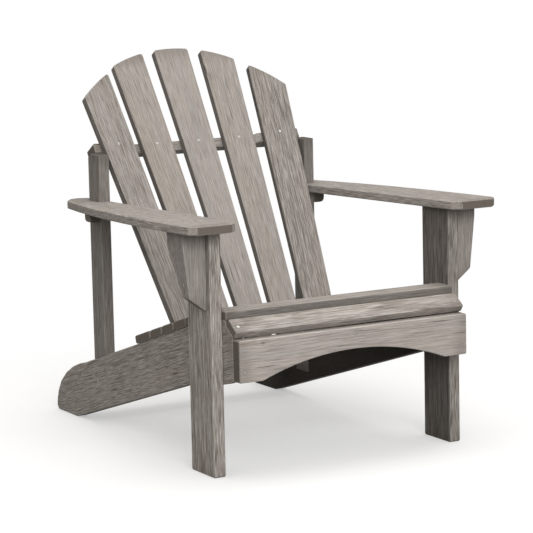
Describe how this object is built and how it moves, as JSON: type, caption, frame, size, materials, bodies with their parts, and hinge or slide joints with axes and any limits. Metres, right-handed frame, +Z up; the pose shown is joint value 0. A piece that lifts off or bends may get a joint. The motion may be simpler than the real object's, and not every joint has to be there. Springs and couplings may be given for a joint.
{
  "type": "adirondack chair",
  "caption": "Slatted wooden garden chair with a fanned reclining back, sloping seat, wide flat arms and long side rails that run down to the rear feet.",
  "frame": {"origin": "on the floor, under the middle of the chair's width and depth", "axes": "+X to the right of someone who faces the chair; +Y from the front of the seat to the back; +Z up"},
  "size_m": [0.78, 0.9418, 0.8751],
  "materials": {
    "wood": "weathered grey, open grain, no varnish",
    "screws": "bright"
  },
  "bodies": {
    "root": {"arm_bracket_left": "wood", "arm_bracket_right": "wood", "arm_cleat_left": "wood", "arm_cleat_right": "wood", "arm_left": "wood", "arm_right": "wood", "back_slat_1": "wood", "back_slat_2": "wood", "back_slat_3": "wood", "back_slat_4": "wood", "back_slat_5": "wood", "front_apron": "wood", "front_leg_left": "wood", "front_leg_right": "wood", "lower_back_rail": "wood", "rear_post_left": "wood", "rear_post_right": "wood", "rear_stretcher": "wood", "seat_slat_1": "wood", "seat_slat_2": "wood", "seat_slat_3": "wood", "seat_slat_4": "wood", "seat_slat_5": "wood", "seat_slat_6": "wood", "seat_slat_7": "wood", "side_rail_left": "wood", "side_rail_right": "wood", "upper_back_rail": "wood", "apron_screw_lower_left": "screws", "apron_screw_lower_right": "screws", "apron_screw_middle": "screws", "apron_screw_upper_left": "screws", "apron_screw_upper_right": "screws", "back_screw_1": "screws", "back_screw_2": "screws", "back_screw_3": "screws", "back_screw_4": "screws", "back_screw_5": "screws", "bracket_screw_left": "screws", "bracket_screw_right": "screws", "leg_screw_lower_left": "screws", "leg_screw_lower_right": "screws", "leg_screw_upper_left": "screws", "leg_screw_upper_right": "screws", "post_screw_lower_left": "screws", "post_screw_lower_right": "screws", "post_screw_upper_left": "screws", "post_screw_upper_right": "screws", "seat_screw_1_left": "screws", "seat_screw_1_right": "screws", "seat_screw_2_left": "screws", "seat_screw_2_right": "screws", "stretcher_screw_lower_left": "screws", "stretcher_screw_lower_right": "screws", "stretcher_screw_upper_left": "screws", "stretcher_screw_upper_right": "screws"}
  },
  "joints": []
}
